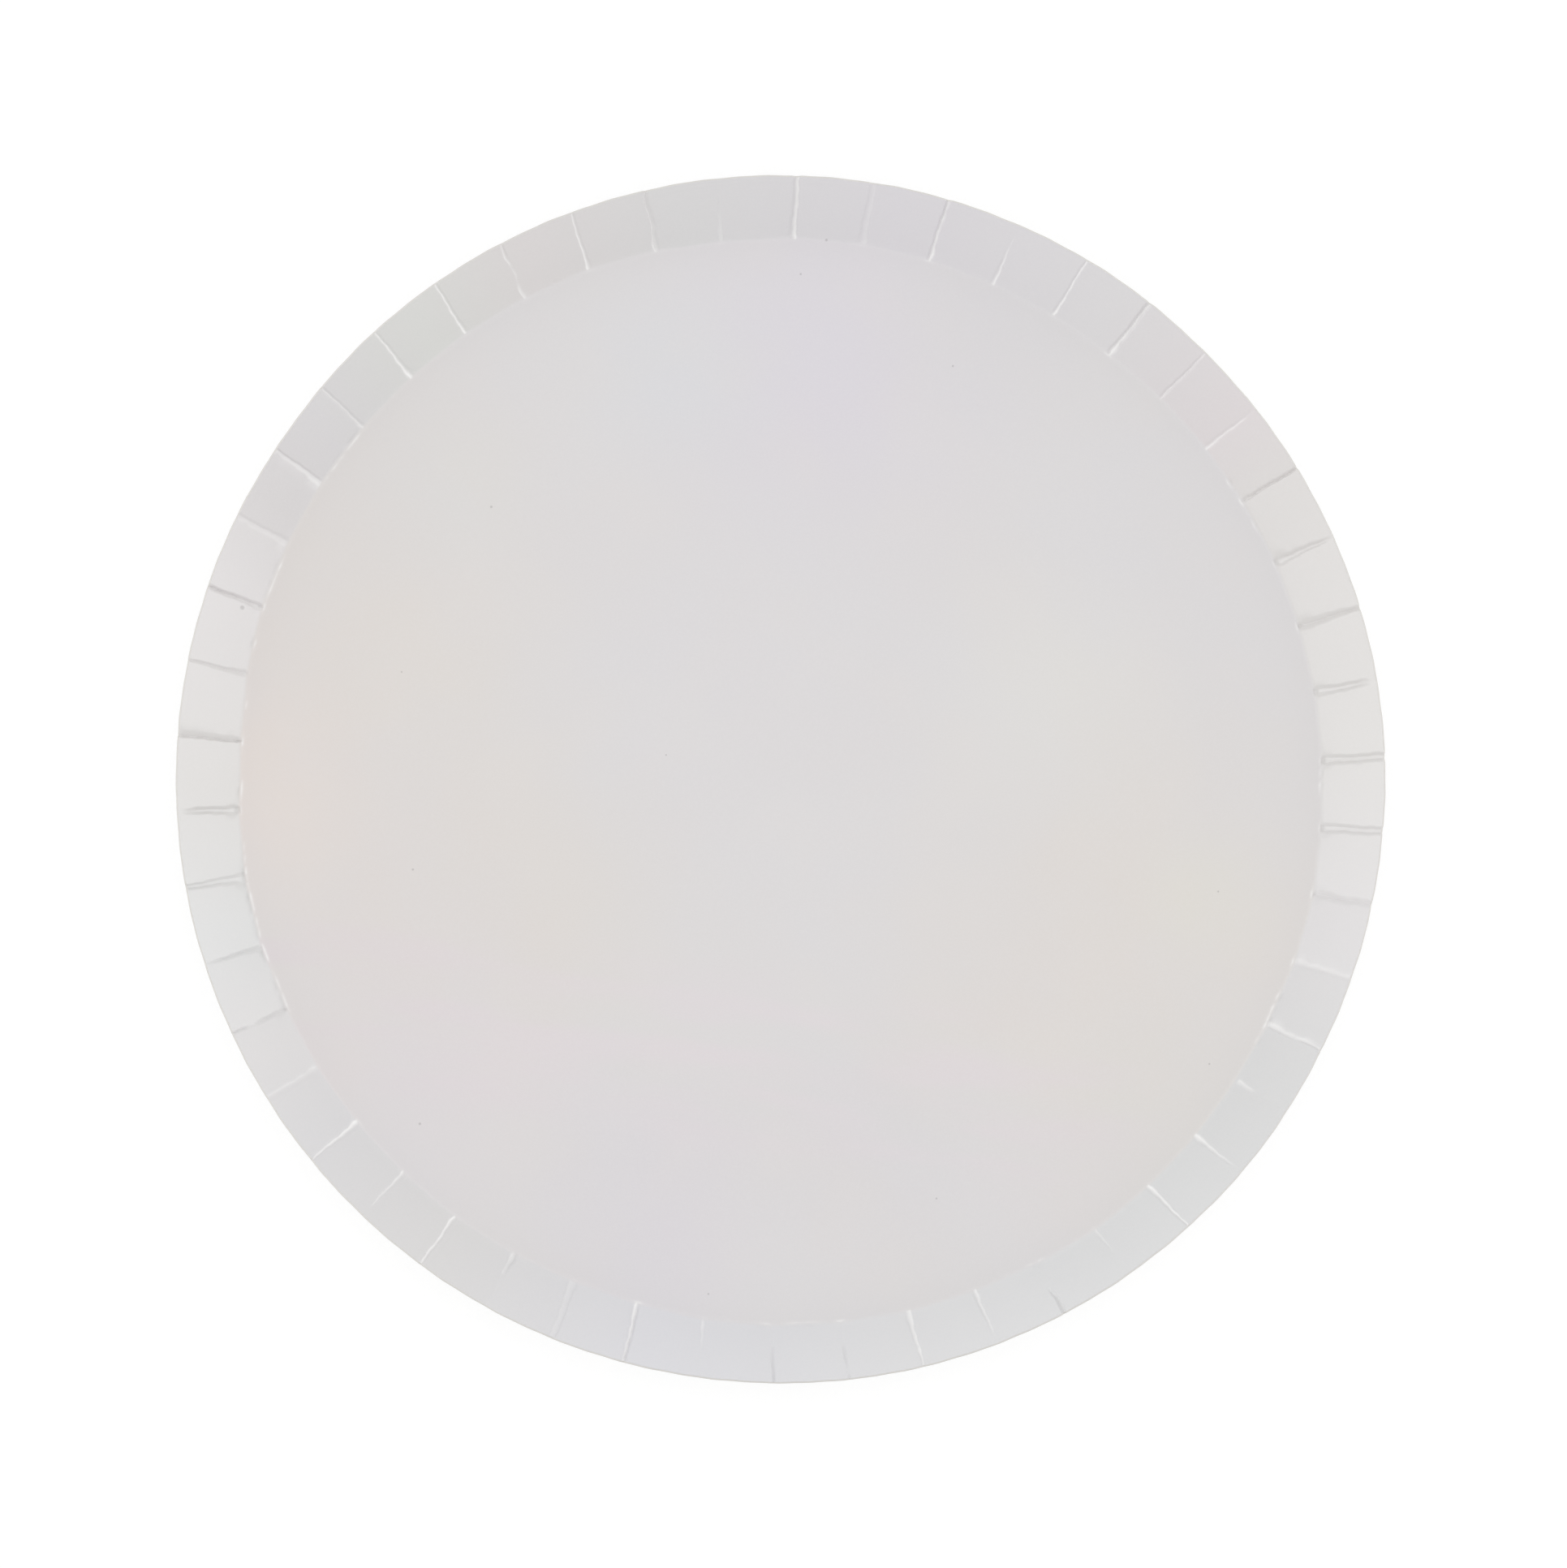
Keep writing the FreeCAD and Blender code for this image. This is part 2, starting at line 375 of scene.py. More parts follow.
class Creases:
    """The creases as the grid's points meet them: the nearest one, and how far along it they are."""

    def __init__(self, columns, radius, beyond_share, widening):
        self.number = columns.crease
        self.azimuth = columns.crease_azimuth
        self.beyond_share = beyond_share
        self.along = np.clip(beyond_share, 0, 1)
        self.straight_aside = radius * np.sin(columns.azimuth - columns.crease_azimuth)
        self.aside = self.straight_aside - self.off_straight()
        self.half_width = self.width_to_lip(widening)
        self.wall = self.wall_depth()
        self.depth = self.bottom_depth()

    def value(self, name):
        """One number of the crease's shape."""
        return crease_values(name)[self.number]

    def blend(self, name):
        """A number that goes evenly from its value at the fold to its value at the edge."""
        return self.value("near_" + name) * (1 - self.along) + self.value("far_" + name) * self.along

    def off_straight(self):
        """How far the crease's own line wavers off a straight one, as a sum of sines."""
        waver = listed(wavering, 0.0)[self.number] * np.sin(2 * pi * self.along * waver_waves)
        slow = slow_waver * np.sin(self.along * 9 + self.number)
        quick = quick_waver * np.sin(self.along * 31 + 2.6 * self.number)
        return (waver + (slow + quick)) * mm

    def width_to_lip(self, widening):
        """From the crease's line to its lip on this side: its shape's width, bulged and uneven."""
        bulge = 1 + bulge_share * bell(self.along - bulge_place, bulge_reach)
        differing = width_differs * jitter(self.number * 1.3)
        uneven = 1 + differing + width_wavers * np.sin(self.along * 24 + 1.7 * self.number)
        half_width = self.blend("half_width") * mm * bulge * uneven + widening
        return half_width * (1 + self.value("lean") * np.sign(self.aside))

    def wall_depth(self):
        """The share of the full depth that the wall reaches, from 0 at its lip to 1 at its bottom.

        It is s^2 / (s + k (1 - s)), with s the way in from the lip and k the lip's roundness:
        rounded at the lip and sharp at the bottom.
        """
        inward = 1 - abs(self.aside) / self.half_width
        inward = np.clip(inward / (1 - self.value("floor")), 0, 1)
        return inward**2 / (inward + lip_roundness * (1 - inward))

    def bottom_depth(self):
        """The depth of the crease's bottom, square to the facets, with its ends and fading."""
        start = self.value("start")
        end = self.value("end")
        started = smooth(start - before_start, start + past_start, self.beyond_share)
        ended = smooth(end - before_end, end, self.along)
        faded = bell(self.along - listed(fading_at, off_the_rim)[self.number], fading_reach)
        ends = started * (1 - ended) * (1 - fading_share * faded)
        return self.blend("depth") * mm * ends * (1 + depth_differs * jitter(self.number * 2.1 + 5))

    def drop(self):
        """How deep the crease reaches below the facets, measured straight down."""
        return self.depth * self.wall / cos(rim_angle)

    def cracked(self):
        """How far the crease is whitened, 0 to 1, mostly on one wall: cracked coating, partly painted
        highlight.
        """
        side = -np.tanh(crack_and_highlight_change * np.sin(2 * (self.azimuth - crack_and_highlight_side)))
        across = crack_and_highlight_at_lip * side * self.aside / self.half_width
        share = np.clip(crack_and_highlight_at_line + across, 0, 1)
        on_wall = smooth(crack_and_highlight_start, crack_and_highlight_full, self.wall)
        return on_wall * share * np.clip(abs(self.depth) / shallow, 0, 1) * self.blend("cracked")


def bead_strength(azimuth):
    """How much of a bead the fold has, from 0 to 1: most at the sides, with an uneven course."""
    strength = np.zeros_like(azimuth)
    for first, last in beads:
        half = (last - first) / 2
        offset = abs(degrees_from((first + last) / 2, azimuth))
        strength = np.maximum(strength, 1 - smooth(half - bead_run_out, half, offset))
    waves = bead_waves * np.sin(azimuth * 63)
    uneven = bead_mean + waves + bead_unevenness * jitter(azimuth * 52)
    return strength * np.clip(uneven, 0, 1) * (bead_left + (1 - bead_left) * np.cos(azimuth) ** 2)


def fold_bead(columns, beyond, aside):
    """A fine pressed bead just inside the fold in some places, and a lip below each crease.

    Each is a bell curve across the fold. Beyond the bead runs a finer broken line, pressed in.
    """
    strength = bead_strength(columns.azimuth)
    broken = np.clip(line_mean + jitter(columns.azimuth * 57 + 2), 0, 1)
    line = strength * broken * bell(beyond - line_place, line_reach)
    lip = listed(lips, least_lip)[columns.crease] * bell(aside, lip_reach)
    return np.maximum(strength, lip) * bell(beyond - bead_place, bead_reach), line


def rings(columns, fold, facing, under):
    """Each row's distance from the axis at every column, from the middle out to the edge.

    Base rows are 50-sided rings at a share of the fold's distance, fold rows are rings at a set
    distance from the fold, and rim rows run from there to the round edge. The under skin has fewer
    of them. Facing is the cosine of the angle from a facet's middle, which makes a ring 50-sided.
    """
    step = 2 if under else 1
    rim_shares = under_rim_shares if under else upper_rim_shares
    base_rings = base_shares[::step, None] * fold / facing
    fold_rings = (fold + fold_steps[::step, None]) / facing
    rim_rings = fold_rings[-1] + rim_shares[:, None] * (edge_line(columns.azimuth) - fold_rings[-1])
    return np.concatenate([base_rings, fold_rings, rim_rings])


def skin(columns, under):
    """The upper or under skin's points, as an array of rows from the centre out by columns.

    The under skin is the upper one without its creases, moved one board thickness along its
    normal, with each crease's ridge below it. With the upper skin's points comes what its finish
    needs to know at each.
    """
    facing = np.cos(columns.azimuth - columns.middle)
    fold = fold_line(columns.azimuth)
    radius = rings(columns, fold, facing, under)
    beyond = radius * facing - fold
    beyond_share = beyond / (edge_radius - fold)
    x = radius * np.cos(columns.azimuth)
    y = radius * np.sin(columns.azimuth)

    # Where the fold wanders out or in, the slope is steeper or flatter, and the edge stays level
    steepness = (edge_radius - fold_distance) / (edge_radius - fold)
    unevenness = rim_unevenness(columns, np.clip(beyond_share, 0, 1))
    height = board + base_height(x, y) + rim_height(beyond) * steepness + unevenness

    if under:
        creases = Creases(columns, radius, beyond_share, ridge_widening)
        slope = rim_slope(beyond, steepness)
        x = x + board * np.sin(slope) * np.cos(columns.facing)
        y = y + board * np.sin(slope) * np.sin(columns.facing)
        height = np.maximum(height - board * np.cos(slope) - creases.drop(), 0)
        finish = {}
    else:
        creases = Creases(columns, radius, beyond_share, 0)
        drop = np.minimum(creases.drop(), height - least_floor)
        bead, line = fold_bead(columns, beyond, creases.straight_aside)
        height = height - drop + bead_height * bead - line_depth * line
        finish = {
            "coated": 1,
            "facet_shade": jitter(columns.facet * 2.52 + 1.6),
            # Whitened: cracked coating, and partly a painted highlight on a crease's lit wall and at the
            # bead
            "pressed": np.maximum(creases.cracked(), bead_whiteness * bead),
            # Where shade is painted in the scored line
            "scored": line,
            "sloped": smooth(rim_tint_start, rim_tint_full, beyond),
        }
    return np.stack([x, y, height], axis=-1), finish


def cut_edge(upper, under):
    """Rows of points round the cut edge: straight across the board, close together at its corners."""
    across = cut_shares[:, None, None]
    return upper * (1 - across) + under * across


def grid_faces(rows, count):
    """A grid's quads, and two fans of triangles that close its ends on the two points after it."""
    corner = np.arange(rows * count).reshape(rows, count)
    beside = np.roll(corner, -1, axis=1)
    quads = np.stack([corner[:-1], corner[1:], beside[1:], beside[:-1]], axis=-1).reshape(-1, 4)
    first_centre = np.full(count, rows * count)
    last_centre = first_centre + 1
    first_fan = np.stack([first_centre, corner[0], beside[0]], axis=-1)
    last_fan = np.stack([last_centre, beside[-1], corner[-1]], axis=-1)
    return quads.tolist() + first_fan.tolist() + last_fan.tolist()


def sheet_mesh():
    """The whole sheet as one closed grid, with what its finish needs to know at each point."""
    columns = Columns()
    upper, finish = skin(columns, under=False)
    under, _ = skin(columns, under=True)
    edge = cut_edge(upper[-1], under[-1])
    points = np.concatenate([upper, edge, under[::-1]])
    rows, count = points.shape[:2]
    middle = base_height(0.0, 0.0)
    centres = np.array([[0, 0, board + middle], [0, 0, middle]])
    mesh = bpy.data.meshes.new("pearl_sheet")
    all_points = np.concatenate([points.reshape(-1, 3), centres])
    mesh.from_pydata(all_points.tolist(), [], grid_faces(rows, count))
    mesh.shade_smooth()

    layers = {name: np.zeros((rows, count)) for name in ("cut", *finish)}
    layers["cut"][len(upper) : len(upper) + len(edge)] = 1
    for name, values in finish.items():
        layers[name][: len(upper)] = values
    for name, values in layers.items():
        attribute = mesh.attributes.new(name, "FLOAT", "POINT")
        at_centres = [values[0, 0], values[-1, 0]]
        at_points = np.concatenate([values.ravel(), at_centres])
        attribute.data.foreach_set("value", at_points.astype(np.float32))
    mesh.update()
    return mesh


class Number:
    """A shader value that can be written in sums: each sign adds one Math node."""

    def __init__(self, nodes, socket):
        self.nodes = nodes
        self.socket = socket

    def __add__(self, other):
        return self.nodes.math("ADD", self, other)

    def __mul__(self, other):
        return self.nodes.math("MULTIPLY", self, other)

    def __sub__(self, other):
        return self.nodes.math("SUBTRACT", self, other)

    def __rsub__(self, other):
        return self.nodes.math("SUBTRACT", other, self)

    def __truediv__(self, other):
        return self.nodes.math("DIVIDE", self, other)

    __radd__ = __add__
    __rmul__ = __mul__

    def between(self, start, end):
        """0 at or before the start, 1 at or past the end, smooth in between."""
        settings = {"interpolation_type": "SMOOTHSTEP"}
        inputs = {"Value": self, "From Min": start, "From Max": end}
        return self.nodes.number("ShaderNodeMapRange", settings, inputs)


class Nodes:
    """A node tree, with one method that adds any node."""

    # The Mix node has sockets for each type of data: these are the factor and the two colours,
    # and the mixed colour
    mix_inputs = (0, 6, 7)
    mix_output = 2

    def __init__(self, owner):
        owner.use_nodes = True
        self.tree = owner.node_tree
        self.tree.nodes.clear()

    def add(self, kind, settings, inputs, output=0):
        """Adds a node, sets it up, gives its sockets their values or links, returns one output."""
        node = self.tree.nodes.new(kind)
        for name, value in settings.items():
            if name == "stops":
                self.set_stops(node.color_ramp, value)
            else:
                setattr(node, name, value)
        for name, value in inputs.items():
            value = value.socket if isinstance(value, Number) else value
            if isinstance(value, bpy.types.NodeSocket):
                self.tree.links.new(value, node.inputs[name])
            else:
                node.inputs[name].default_value = value
        return node.outputs[output] if node.outputs else None

    def set_stops(self, ramp, stops):
        """Gives a colour ramp its stops. It has two from the start."""
        for _ in stops[2:]:
            ramp.elements.new(0.5)
        for element, (position, tint) in zip(ramp.elements, stops):
            element.position = position
            element.color = tint

    def number(self, kind, settings, inputs, output=0):
        """Adds a node and returns its output as a value for sums."""
        return Number(self, self.add(kind, settings, inputs, output))

    def math(self, operation, *values):
        """Adds a Math node on some values."""
        return self.number("ShaderNodeMath", {"operation": operation}, dict(enumerate(values)))

    def mix(self, factor, first, second):
        """A colour between two, by a factor."""
        inputs = dict(zip(self.mix_inputs, (factor, first, second)))
        return self.add("ShaderNodeMix", {"data_type": "RGBA"}, inputs, self.mix_output)

    def join(self, factor, first, second):
        """A shader between two, by a factor."""
        return self.add("ShaderNodeMixShader", {}, {0: factor, 1: first, 2: second})


class PlateNodes(Nodes):
    """The plate's material nodes, which read its own places and the layers of its mesh."""

    def __init__(self, material):
        super().__init__(material)
        self.place = self.add("ShaderNodeTexCoord", {}, {}, "Object")
        self.x = self.number("ShaderNodeSeparateXYZ", {}, {"Vector": self.place}, "X")
        self.y = self.number("ShaderNodeSeparateXYZ", {}, {"Vector": self.place}, "Y")
        flatten = {0: self.place, 1: (1, 1, 0)}
        self.plan = self.add("ShaderNodeVectorMath", {"operation": "MULTIPLY"}, flatten, "Vector")

    def layer(self, name):
        """A layer of the plate's mesh."""
        return self.number("ShaderNodeAttribute", {"attribute_name": name}, {}, "Fac")

    def distance(self, centre):
        """The distance in plan from a centre given in millimetres."""
        ends = {0: self.plan, 1: (centre[0] * mm, centre[1] * mm, 0)}
        return self.number("ShaderNodeVectorMath", {"operation": "DISTANCE"}, ends, "Value")

    def noise(self, scale, detail, place=None):
        """A noise with about so many patches to the metre, over the plate or another place."""
        inputs = {"Vector": place or self.place, "Scale": scale, "Detail": detail}
        return self.number("ShaderNodeTexNoise", {}, inputs, "Fac")

    def patches(self, surface, tint, strength, scale, detail, start, full):
        """A tint over a surface in soft patches, where a noise rises from its start to its full."""
        return self.mix(self.noise(scale, detail).between(start, full) * strength, surface, tint)


def colour(red, green, blue):
    """A colour from display values of 0 to 255, as linear light."""
    linear = [((c / 255 + 0.055) / 1.055) ** 2.4 for c in (red, green, blue)]
    return (*linear, 1.0)


def grey(level):
    """A grey from a level of linear light."""
    return (level, level, level, 1.0)


# Soft tints of the pearl coating over the base: centre and reach in millimetres, colour and strength
tints = (
    ((-97, 14), 58, colour(225, 215, 209), 0.80),
    ((-96, 40), 28, colour(224, 214, 207), 0.50),
    ((-78, 48), 50, colour(222, 216, 211), 0.80),
    ((-64, 14), 46, colour(222, 217, 212), 0.75),
    ((-50, -26), 44, colour(221, 216, 211), 0.80),
    ((-82, -28), 56, colour(222, 215, 211), 0.75),
    ((-70, -54), 40, colour(220, 214, 216), 0.70),
    ((12, 80), 52, colour(217, 212, 221), 0.80),
    ((44, 84), 32, colour(215, 212, 214), 0.60),
    ((-18, 78), 28, colour(216, 217, 220), 0.70),
    ((53, 12), 36, colour(223, 221, 218), 0.80),
    ((68, -36), 66, colour(222, 216, 210), 0.88),
    ((50, -50), 44, colour(221, 215, 211), 0.70),
    ((80, -26), 19, colour(224, 220, 208), 0.55),
    ((66, -68), 32, colour(219, 215, 209), 0.65),
    ((-26, -84), 34, colour(214, 209, 217), 0.70),
    ((16, -82), 50, colour(217, 215, 214), 0.65),
    ((80, 60), 50, colour(217, 215, 217), 0.55),
    ((-6, 30), 60, colour(219, 216, 218), 0.50),
    ((-60, 58), 22, colour(219, 218, 215), 0.40),
    ((-99, 0), 30, colour(231, 219, 211), 0.50),
    ((14, -80), 40, colour(215, 211, 213), 0.65),
    ((48, -78), 22, colour(219, 213, 213), 0.50),
    ((-38, -74), 34, colour(216, 212, 214), 0.60),
)

# The coating's tint round the rim, by azimuth in degrees from +X. Its lightness is partly painted light
# and shade: facets are painted lighter where the lamps light them less, and darker where more.
rim_tints_and_painted_light = (
    (0, colour(220, 218, 216)),
    (28, colour(220, 217, 215)),
    (36, colour(221, 215, 216)),
    (52, colour(220, 218, 219)),
    (76, colour(219, 216, 220)),
    (98, colour(218, 217, 217)),
    (114, colour(222, 218, 217)),
    (126, colour(220, 221, 217)),
    (140, colour(218, 216, 217)),
    (149, colour(216, 213, 213)),
    (158, colour(223, 220, 220)),
    (178, colour(218, 216, 214)),
    (193, colour(218, 219, 219)),
    (205, colour(221, 219, 219)),
    (215, colour(217, 216, 217)),
    (232, colour(218, 217, 216)),
    (254, colour(217, 217, 221)),
    (280, colour(219, 219, 220)),
    (312, colour(217, 218, 218)),
    (328, colour(216, 216, 216)),
    (342, colour(221, 219, 220)),
    (360, colour(220, 218, 216)),
)

# Small dark specks in the coating: place and size in millimetres. A speck is full in its core and
# faded out a little past its size.
speck_core = 0.5
speck_fade = 1.3
specks = (
    ((-100.7, 36.9), 0.42),
    ((-71.5, -62.2), 0.26),
    ((36.5, 77.6), 0.22),
    ((8.2, 96.4), 0.22),
    ((13.4, 102.7), 0.26),
    ((-52.8, 54.3), 0.26),
    ((-70.7, -14.0), 0.22),
    ((82.6, -25.1), 0.20),
    ((79.3, -57.9), 0.20),
    ((25.9, -81.0), 0.20),
    ((-18.3, -97.0), 0.20),
    ((-71.2, 23.6), 0.18),
    ((-21.7, 5.6), 0.18),
)

# The coating's other colours
coating = colour(219, 216, 216)
# The colour of the painted light near the fold
painted_light_coating = colour(238, 236, 235)
cool_coating = colour(218, 218, 222)
warm_coating = colour(225, 220, 216)
pink_coating = colour(224, 214, 219)
# Painted shade and painted light for single facets, each with a slight tint
painted_shade_facet = colour(208, 204, 206)
painted_light_facet = colour(231, 229, 226)
# The pigment's fine fleck, painted a little lighter as a faint sparkle
pigment_sparkle = colour(232, 230, 230)
speck_grey = colour(110, 104, 104)
# Painted shade in the fold's scored line
score_line_shade = colour(150, 146, 143)
# Cracked coating, and partly a painted highlight, on a crease's lit wall and at the bead
crack_and_highlight_white = colour(247, 246, 245)

# The board's own colours, on its underside and at its cut edge, each with its fibres
bare_board = colour(226, 225, 221)
bare_fibre = colour(216, 214, 209)
raw_edge = colour(220, 218, 214)
raw_fibre = colour(206, 203, 199)

# Painted light: the coating is lightened by this strength between these distances from the plate's axis,
# against the shade that the rim casts on the base near the fold
painted_light_near_fold = 0.14
painted_light_start = 55 * mm
painted_light_full = 101 * mm

# Pink streaks cross the base in a band, drawn out along a line that falls to the right. The band is
# given by its middle across the streaks, where it is full and where it ends on either side, and
# where it runs out to the right.
streak_fall = 0.20
streak_draw = 0.18
streak_middle = -56 * mm
streak_full_width = 8 * mm
streak_end_width = 22 * mm
streak_run_out = 40 * mm
streak_end = 80 * mm
streak_strength = 0.44

# How strong a facet's painted light and shade, a speck, the painted shade in the scored line and the
# board's fibres are at most
facet_shade_strength = 0.16
speck_strength = 0.30
score_line_shade_strength = 0.20
bare_fibre_strength = 0.5
raw_fibre_strength = 0.6

# How rough the bare board is, how much smoother the coating makes it and how far it differs from
# place to place. The coating's clear gloss has its own share, roughness and index of refraction, and
# the fine grain its strength and height.
bare_roughness = 0.78
coating_smoothness = 0.40
roughness_differs = 0.05
gloss_share = 0.35
gloss_roughness = 0.22
gloss_index = 1.5
board_index = 1.5
grain_strength = 0.10
grain_height = 0.02 * mm


def base_coating(nodes):
    """The coating over the base: tints, painted light towards the fold, with a pearly mottle and
    streaks.
    """
    surface = coating
    for centre, reach, tint, strength in tints:
        surface = nodes.mix(nodes.distance(centre).between(reach * mm, 0.0) * strength, surface, tint)
    # Painted light near the fold, where the rim shades the base
    painted_light_share = nodes.distance((0, 0)).between(painted_light_start, painted_light_full)
    surface = nodes.mix(painted_light_share * painted_light_near_fold, surface, painted_light_coating)
    surface = nodes.patches(
        surface, cool_coating, strength=0.16, scale=34.0, detail=2.0, start=0.35, full=0.65
    )
    surface = nodes.patches(
        surface, warm_coating, strength=0.14, scale=47.0, detail=1.0, start=0.45, full=0.70
    )
    return nodes.mix(streaks(nodes) * streak_strength, surface, pink_coating)


def streaks(nodes):
    """How much of a pink streak there is: a noise drawn out along the streaks, within their band."""
    across = nodes.y + nodes.x * streak_fall
    drawn_out = nodes.add("ShaderNodeCombineXYZ", {}, {"X": nodes.x * streak_draw, "Y": across})
    streak = nodes.noise(scale=150.0, detail=1.0, place=drawn_out).between(0.35, 0.70)
    off_middle = nodes.math("ABSOLUTE", across - streak_middle)
    in_band = off_middle.between(streak_end_width, streak_full_width)
    return streak * (in_band * nodes.x.between(streak_end, streak_run_out))


def rim_coating(nodes):
    """The coating on the rim: its tint, with painted light and shade, goes round with the azimuth, and
    each facet is painted a little lighter or darker.
    """
    turn = nodes.math("ARCTAN2", nodes.y, nodes.x) / (2 * pi)
    turn = nodes.math("FRACT", turn + 1)
    stops = [(degrees / 360, tint) for degrees, tint in rim_tints_and_painted_light]
    surface = nodes.add("ShaderNodeValToRGB", {"stops": stops}, {"Fac": turn}, "Color")
    # Painted light and shade: each facet a little lighter or darker, as the light on its tilt makes it
    shade = nodes.layer("facet_shade")
    shaded_share = nodes.math("MAXIMUM", shade, 0)
    lit_share = nodes.math("MAXIMUM", 0 - shade, 0)
    surface = nodes.mix(shaded_share * facet_shade_strength, surface, painted_shade_facet)
    return nodes.mix(lit_share * facet_shade_strength, surface, painted_light_facet)


def pearl_coating(nodes):
    """The whole coating: its pigment's fleck with a painted sparkle, its specks, painted shade in the
    scored line, and white where cracked, partly painted highlight.
    """
    surface = nodes.mix(nodes.layer("sloped"), base_coating(nodes), rim_coating(nodes))
    # The pigment's fleck, partly a painted sparkle
    surface = nodes.patches(
        surface, pigment_sparkle, strength=0.10, scale=2600.0, detail=1.0, start=0.30, full=0.75
    )
    for centre, size in specks:
        dot = nodes.distance(centre).between(size * speck_fade * mm, size * speck_core * mm)
        surface = nodes.mix(dot * speck_strength, surface, speck_grey)
    # Painted shade in the scored line beyond the bead
    surface = nodes.mix(nodes.layer("scored") * score_line_shade_strength, surface, score_line_shade)
    # White where the coating is cracked, and partly a painted highlight on lit crease walls and the bead
    return nodes.mix(nodes.layer("pressed"), surface, crack_and_highlight_white)


def pearl_board():
    """The plate's finish: pearl coating above, bare board below, and the cut edge's fibres."""
    material = bpy.data.materials.new("pearl_board")
    nodes = PlateNodes(material)
    coated = nodes.layer("coated")
    cut = nodes.layer("cut")
    fibres = nodes.noise(scale=900.0, detail=3.0)
    bare = nodes.mix(fibres * bare_fibre_strength, bare_board, bare_fibre)
    raw = nodes.mix(fibres * raw_fibre_strength, raw_edge, raw_fibre)
    surface = nodes.mix(coated, bare, pearl_coating(nodes))
    surface = nodes.mix(cut, surface, raw)
    grain = nodes.noise(scale=700.0, detail=4.0) + nodes.noise(scale=160.0, detail=2.0)
    bump = {"Strength": grain_strength, "Distance": grain_height, "Height": grain}
    glossy = coated - cut
    differing = nodes.noise(scale=90.0, detail=2.0) * roughness_differs
    inputs = {
        "Base Color": surface,
        "Roughness": bare_roughness - glossy * coating_smoothness + differing,
        "IOR": board_index,
        "Coat Weight": glossy * gloss_share,
        "Coat Roughness": gloss_roughness,
        "Coat IOR": gloss_index,
        "Normal": nodes.add("ShaderNodeBump", {}, bump),
    }
    shader = nodes.add("ShaderNodeBsdfPrincipled", {}, inputs)
    nodes.add("ShaderNodeOutputMaterial", {}, {"Surface": shader})
    return material


def plate():
    """The plate's visible sheet, in place of its plain CAD solid."""
    sheet = bpy.data.objects.new("pearl_sheet", sheet_mesh())
    bpy.context.scene.collection.objects.link(sheet)
    sheet.data.materials.append(pearl_board())
    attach(sheet, "root")
    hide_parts("plate")


# The floor: its reach from the plate's axis, how far it is below the plate, its greys in the room's
# light and as the camera sees it, and its own glow to the camera, which makes it white
floor_reach = 3.0
floor_gap = 0.02 * mm
floor_grey = grey(0.85)
seen_floor_grey = grey(0.25)
floor_glow = 0.786
white = grey(1.0)

# The light from all round: its level from below and from the side, and how much more comes from
# straight above
level_light = 0.665
light_from_above = 0.415

# Soft upright lights that stand round the plate, each with its azimuth, width and radiance
lamps = {
    "right_light": (radians(-2.0), 0.80, 2.13),
    "left_light": (radians(184.0), 0.86, 2.13),
    "back_light": (radians(95.0), 1.30, 0.85),
}
lamp_distance = 0.9
lamp_height = 0.26


def ground():
    """A wide white floor that shows white to the camera and keeps the plate's shadow."""
    near, far = -floor_reach, floor_reach
    corners = [(near, near), (far, near), (far, far), (near, far)]
    mesh = bpy.data.meshes.new("ground")
    mesh.from_pydata([(x, y, -floor_gap) for x, y in corners], [], [(0, 1, 2, 3)])
    floor = bpy.data.objects.new("ground", mesh)
    bpy.context.scene.collection.objects.link(floor)
    material = bpy.data.materials.new("white_ground")
    nodes = Nodes(material)
    seen = nodes.add("ShaderNodeLightPath", {}, {}, "Is Camera Ray")
    matt = nodes.add("ShaderNodeBsdfDiffuse", {}, {"Color": floor_grey})
    faint = nodes.add("ShaderNodeBsdfDiffuse", {}, {"Color": seen_floor_grey})
    glow = nodes.add("ShaderNodeEmission", {}, {"Color": white, "Strength": floor_glow})
    shown = nodes.add("ShaderNodeAddShader", {}, {0: faint, 1: glow})
    nodes.add("ShaderNodeOutputMaterial", {}, {"Surface": nodes.join(seen, matt, shown)})
    mesh.materials.append(material)


def surroundings():
    """Soft white light from all round, plain white where it is seen directly or in a reflection."""
    world = bpy.data.worlds.new("surroundings")
    bpy.context.scene.world = world
    nodes = Nodes(world)
    camera_ray = nodes.number("ShaderNodeLightPath", {}, {}, "Is Camera Ray")
    glossy_ray = nodes.number("ShaderNodeLightPath", {}, {}, "Is Glossy Ray")
    clear_ray = nodes.number("ShaderNodeLightPath", {}, {}, "Is Transmission Ray")
    seen = (camera_ray + glossy_ray + clear_ray).between(0.4, 0.6)
    direction = nodes.add("ShaderNodeTexCoord", {}, {}, "Generated")
    upward = nodes.number("ShaderNodeSeparateXYZ", {}, {"Vector": direction}, "Z")
    strength = level_light + nodes.math("MAXIMUM", upward, 0) * light_from_above
    soft = nodes.add("ShaderNodeBackground", {}, {"Color": white, "Strength": strength})
    plain = nodes.add("ShaderNodeBackground", {}, {"Color": white, "Strength": 1.0})
    nodes.add("ShaderNodeOutputWorld", {}, {"Surface": nodes.join(seen, soft, plain)})


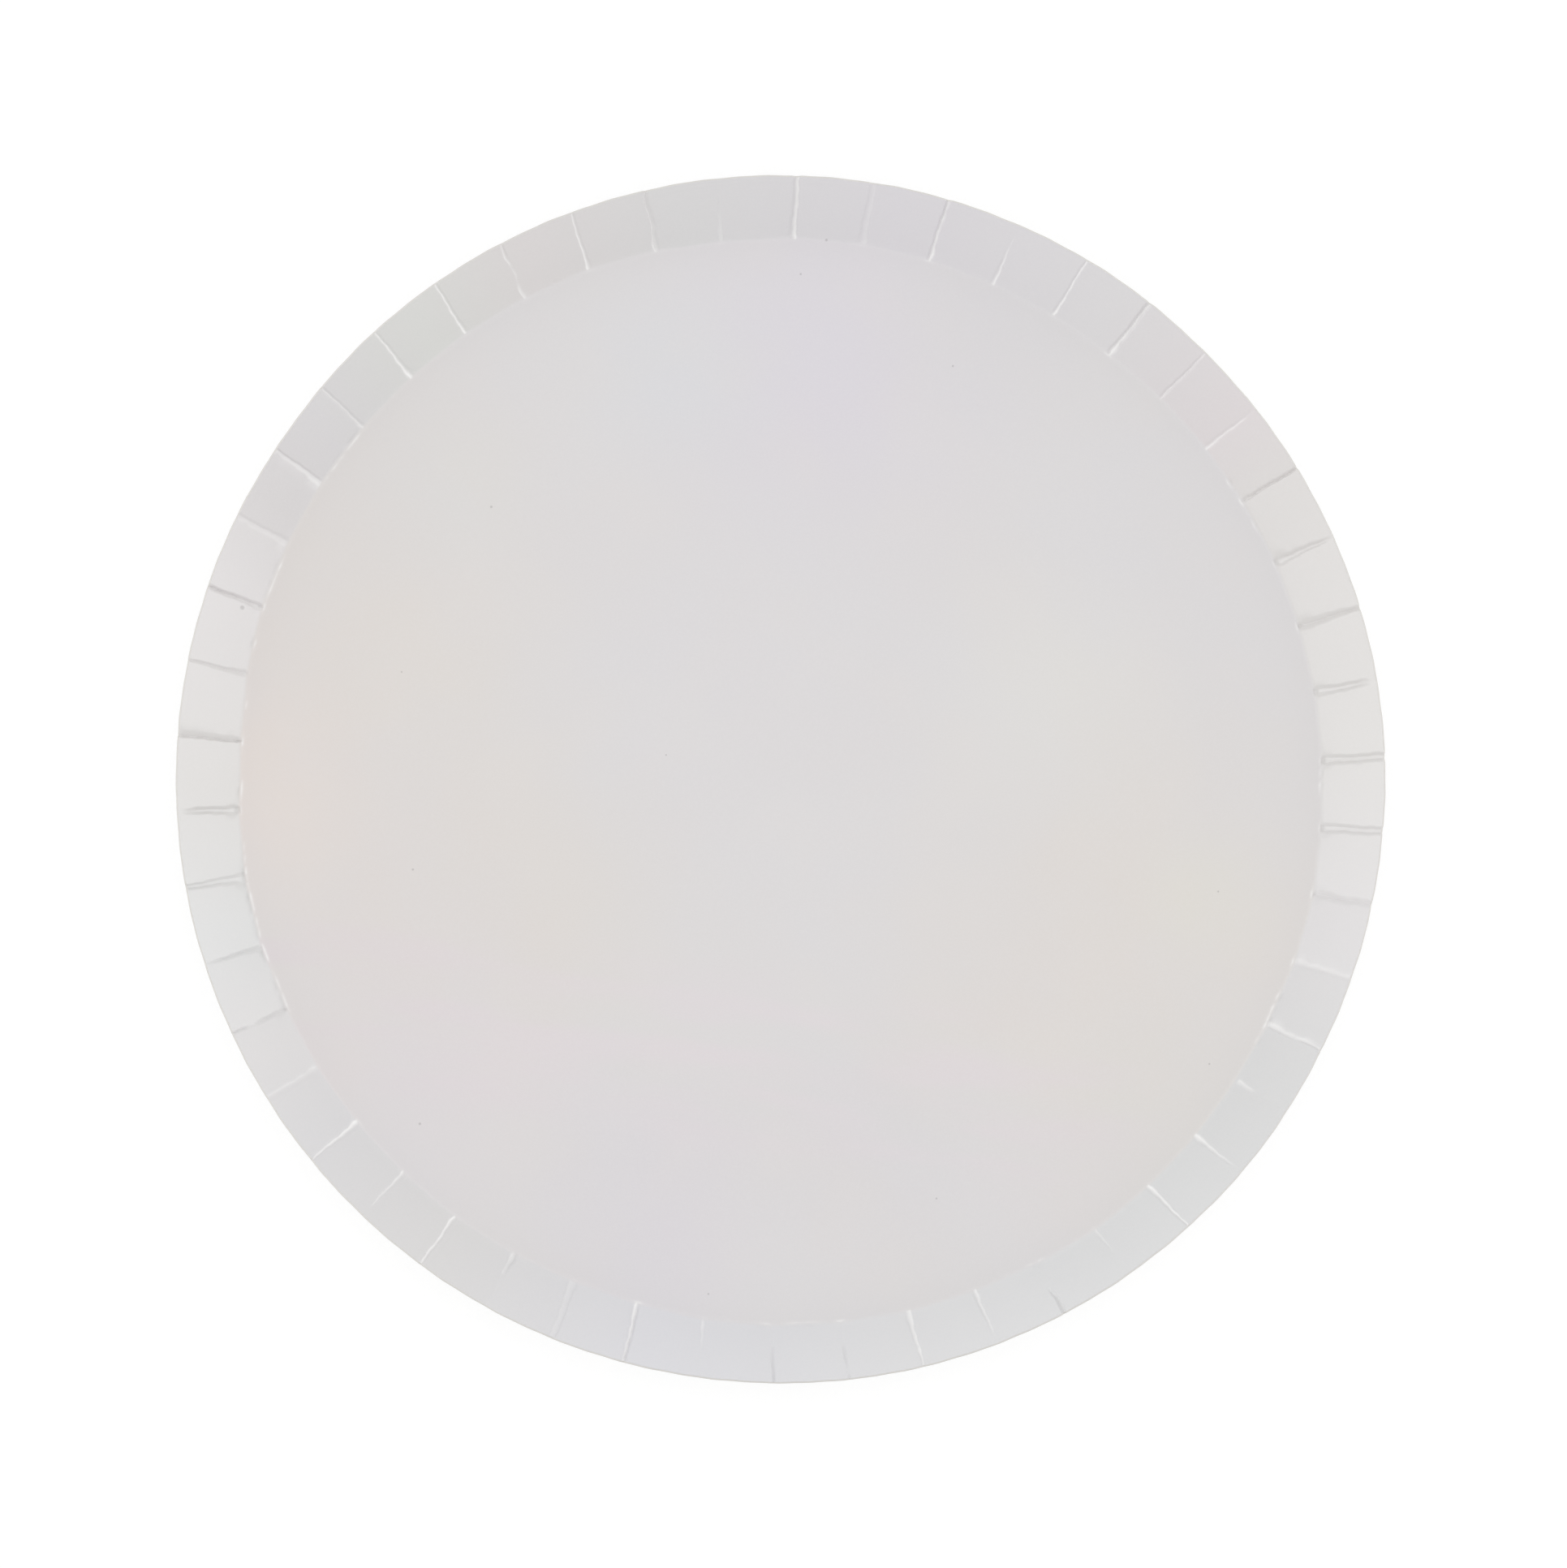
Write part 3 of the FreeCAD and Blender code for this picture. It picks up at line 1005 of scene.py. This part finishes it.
def lamp(name, azimuth, width, radiance):
    """An upright soft light that stands on the ground and faces the plate."""
    light = bpy.data.lights.new(name, "AREA")
    light.shape = "RECTANGLE"
    light.size = width
    light.size_y = lamp_height
    light.energy = radiance * pi * width * lamp_height
    soft_box = bpy.data.objects.new(name, light)
    outward = Vector((cos(azimuth), sin(azimuth), 0))
    soft_box.location = outward * lamp_distance + Vector((0, 0, lamp_height / 2))
    soft_box.rotation_euler = (-outward).to_track_quat("-Z", "Y").to_euler()
    bpy.context.scene.collection.objects.link(soft_box)


# Where the plate is in the photograph, and how the photograph was taken
photo_width = 1931
photo_height = 1932
plate_centre_pixels = (962.05, 960.7)
plate_radius_pixels = 747.4
camera_distance = 1.10
camera_tilt = radians(3.6)
camera_side = radians(215.0)
plate_turn = radians(2.53)
sensor_width = 36.0


def camera():
    """Looks down from a little off the plate's axis, turned as the photograph is.

    Seen at a tilt, the plate's nearer half looks larger, which moves the middle of its outline off
    its axis by R^2 sin(tilt) / distance.
    """
    pixel = high.y / plate_radius_pixels
    right = Vector((cos(-plate_turn), sin(-plate_turn), 0))
    upward = Vector((-right.y, right.x, 0))
    aside = (photo_width / 2 - plate_centre_pixels[0]) * pixel
    below = (photo_height / 2 - plate_centre_pixels[1]) * pixel
    lean = right * cos(camera_side) + upward * sin(camera_side)
    nearer_side = lean * high.y**2 * sin(camera_tilt) / camera_distance
    aim = Vector((0, 0, high.z)) + right * aside - upward * below + nearer_side
    direction = lean * sin(camera_tilt) + Vector((0, 0, cos(camera_tilt)))
    data = bpy.data.cameras.new("camera")
    data.sensor_fit = "HORIZONTAL"
    data.sensor_width = sensor_width
    data.lens = sensor_width * camera_distance / (photo_width * pixel)
    eye = bpy.data.objects.new("camera", data)
    across = (right - direction * right.dot(direction)).normalized()
    facing = Matrix((across, direction.cross(across), direction)).transposed()
    eye.matrix_world = Matrix.Translation(aim + direction * camera_distance) @ facing.to_4x4()
    bpy.context.scene.collection.objects.link(eye)
    bpy.context.scene.camera = eye


plate()
ground()
surroundings()
for name, (azimuth, width, radiance) in lamps.items():
    lamp(name, azimuth, width, radiance)
camera()
bpy.context.scene.view_settings.view_transform = "Standard"
